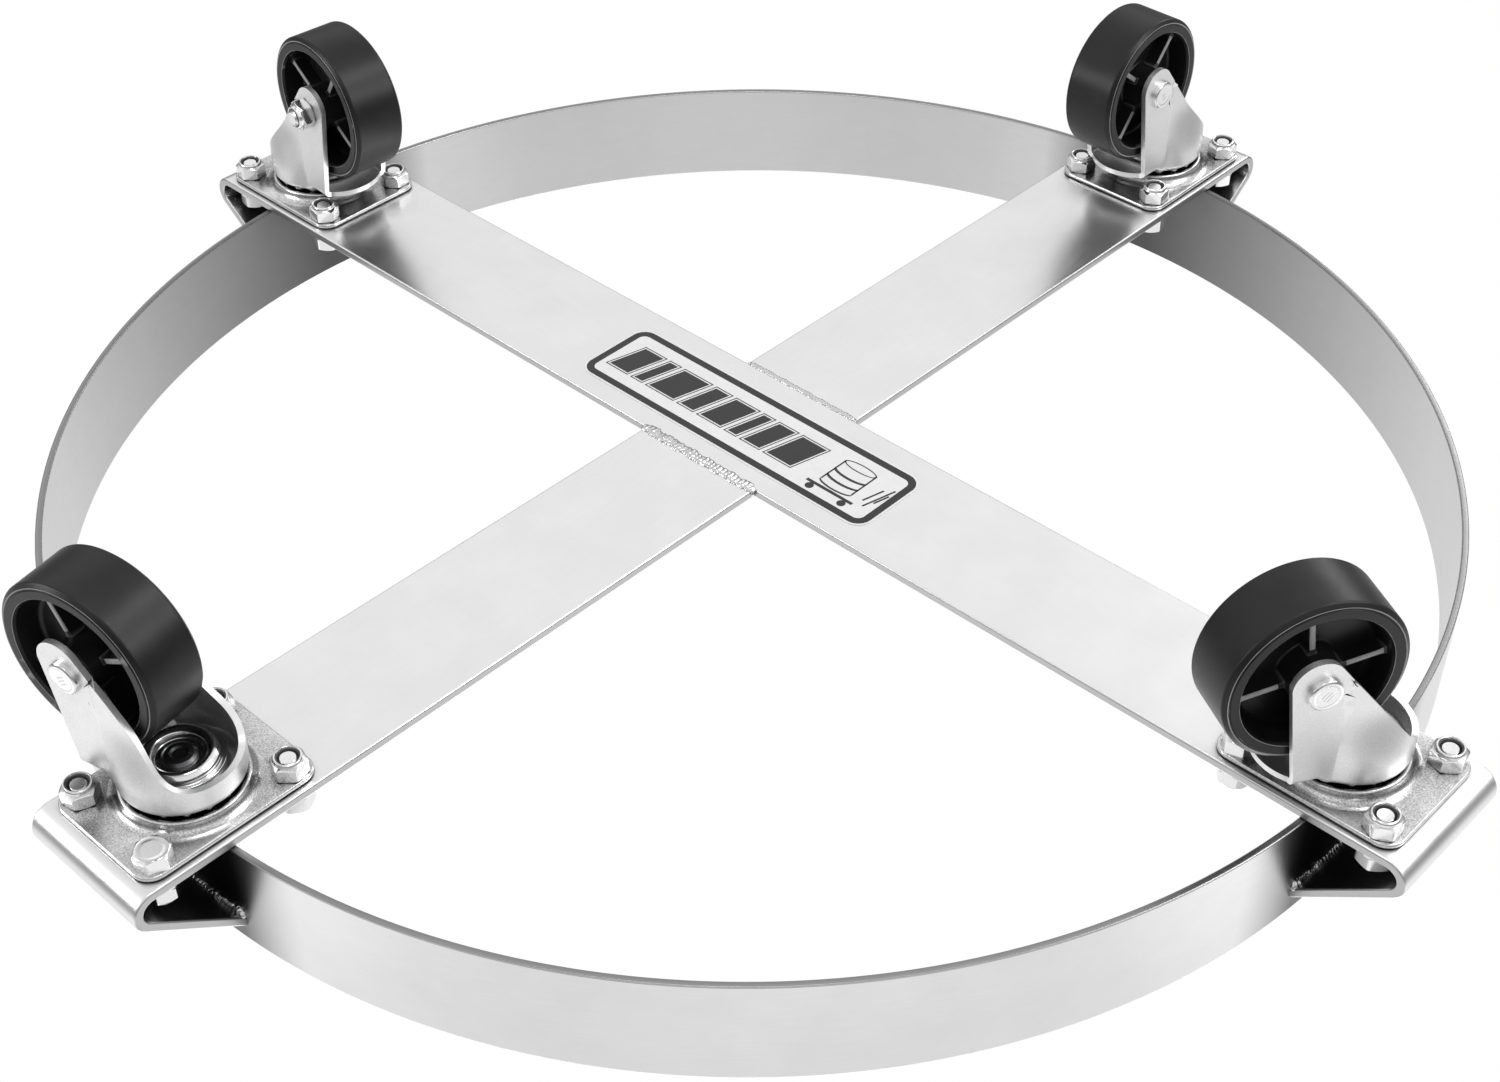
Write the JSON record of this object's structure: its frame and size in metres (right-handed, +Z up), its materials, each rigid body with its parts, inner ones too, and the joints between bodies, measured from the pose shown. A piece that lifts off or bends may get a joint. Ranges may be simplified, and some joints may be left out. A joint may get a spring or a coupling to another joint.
{
  "type": "drum dolly",
  "caption": "Round drum dolly: rolled steel ring on crossed flat bars with folded gusset ends, carried on swivel plate casters.",
  "frame": {"origin": "on the floor, under the middle of the ring", "axes": "+Z up with the wheels on the floor and the drum's seat above, +X along the through bar, +Y along the two half bars"},
  "size_m": [0.696, 0.696, 0.148],
  "materials": {
    "ring_steel": "bright zinc-plated rolled strip, satin",
    "bar_steel": "bright zinc-plated flat bar, fine satin",
    "weld": "rippled weld bead, plated over",
    "label": "printed silver label with a dark border and plain blocks",
    "zinc_plate": "bright zinc-plated pressed steel",
    "zinc_yoke": "bright zinc-plated pressed steel, glossy",
    "zinc_fastener": "bright zinc-plated bolts and lock nuts",
    "pin_steel": "oiled dark steel",
    "ball_steel": "greased bearing steel",
    "wheel_plastic": "moulded polypropylene, low sheen"
  },
  "bodies": {
    "frame": {"ring": "ring_steel", "through_bar": "bar_steel", "half_bar_front": "bar_steel", "half_bar_rear": "bar_steel", "centre_welds": "weld", "ring_welds": "weld", "gusset_welds": "weld", "label": "label", "plate_left": "zinc_plate", "king_pin_left": "pin_steel", "race_cup_left": "zinc_yoke", "plate_bolts_left": "zinc_fastener", "plate_nuts_left": "zinc_fastener", "plate_front": "zinc_plate", "king_pin_front": "pin_steel", "race_cup_front": "zinc_yoke", "plate_bolts_front": "zinc_fastener", "plate_nuts_front": "zinc_fastener", "plate_right": "zinc_plate", "king_pin_right": "pin_steel", "race_cup_right": "zinc_yoke", "plate_bolts_right": "zinc_fastener", "plate_nuts_right": "zinc_fastener", "plate_rear": "zinc_plate", "king_pin_rear": "pin_steel", "race_cup_rear": "zinc_yoke", "plate_bolts_rear": "zinc_fastener", "plate_nuts_rear": "zinc_fastener"},
    "fork_left": {"yoke_left": "zinc_yoke", "main_balls_left": "ball_steel", "inner_balls_left": "ball_steel", "axle_sleeve_left": "pin_steel", "axle_bolt_left": "zinc_fastener", "axle_nut_left": "zinc_fastener"},
    "roller_left": {"wheel_left": "wheel_plastic"},
    "fork_front": {"yoke_front": "zinc_yoke", "main_balls_front": "ball_steel", "inner_balls_front": "ball_steel", "axle_sleeve_front": "pin_steel", "axle_bolt_front": "zinc_fastener", "axle_nut_front": "zinc_fastener"},
    "roller_front": {"wheel_front": "wheel_plastic"},
    "fork_right": {"yoke_right": "zinc_yoke", "main_balls_right": "ball_steel", "inner_balls_right": "ball_steel", "axle_sleeve_right": "pin_steel", "axle_bolt_right": "zinc_fastener", "axle_nut_right": "zinc_fastener"},
    "roller_right": {"wheel_right": "wheel_plastic"},
    "fork_rear": {"yoke_rear": "zinc_yoke", "main_balls_rear": "ball_steel", "inner_balls_rear": "ball_steel", "axle_sleeve_rear": "pin_steel", "axle_bolt_rear": "zinc_fastener", "axle_nut_rear": "zinc_fastener"},
    "roller_rear": {"wheel_rear": "wheel_plastic"}
  },
  "joints": [
    {"name": "swivel_left", "type": "hinge", "parent": "frame", "child": "fork_left", "pos_m": [-0.3005, 0, 0.094], "axis": [0, 0, 1], "continuous": true},
    {"name": "spin_left", "type": "hinge", "parent": "fork_left", "child": "roller_left", "pos_m": [-0.2736, 0.00235, 0.03575], "axis": [-0.0872, 0.9962, 0], "continuous": true},
    {"name": "swivel_front", "type": "hinge", "parent": "frame", "child": "fork_front", "pos_m": [0, -0.3005, 0.094], "axis": [0, 0, 1], "continuous": true},
    {"name": "spin_front", "type": "hinge", "parent": "fork_front", "child": "roller_front", "pos_m": [-0.00047, -0.2735, 0.03575], "axis": [-0.9998, -0.0175, 0], "continuous": true},
    {"name": "swivel_right", "type": "hinge", "parent": "frame", "child": "fork_right", "pos_m": [0.3005, 0, 0.094], "axis": [0, 0, 1], "continuous": true},
    {"name": "spin_right", "type": "hinge", "parent": "fork_right", "child": "roller_right", "pos_m": [0.287, 0.02338, 0.03575], "axis": [-0.866, -0.5, 0], "continuous": true},
    {"name": "swivel_rear", "type": "hinge", "parent": "frame", "child": "fork_rear", "pos_m": [0, 0.3005, 0.094], "axis": [0, 0, 1], "continuous": true},
    {"name": "spin_rear", "type": "hinge", "parent": "fork_rear", "child": "roller_rear", "pos_m": [-0.02641, 0.30611, 0.03575], "axis": [-0.2079, -0.9781, 0], "continuous": true}
  ]
}
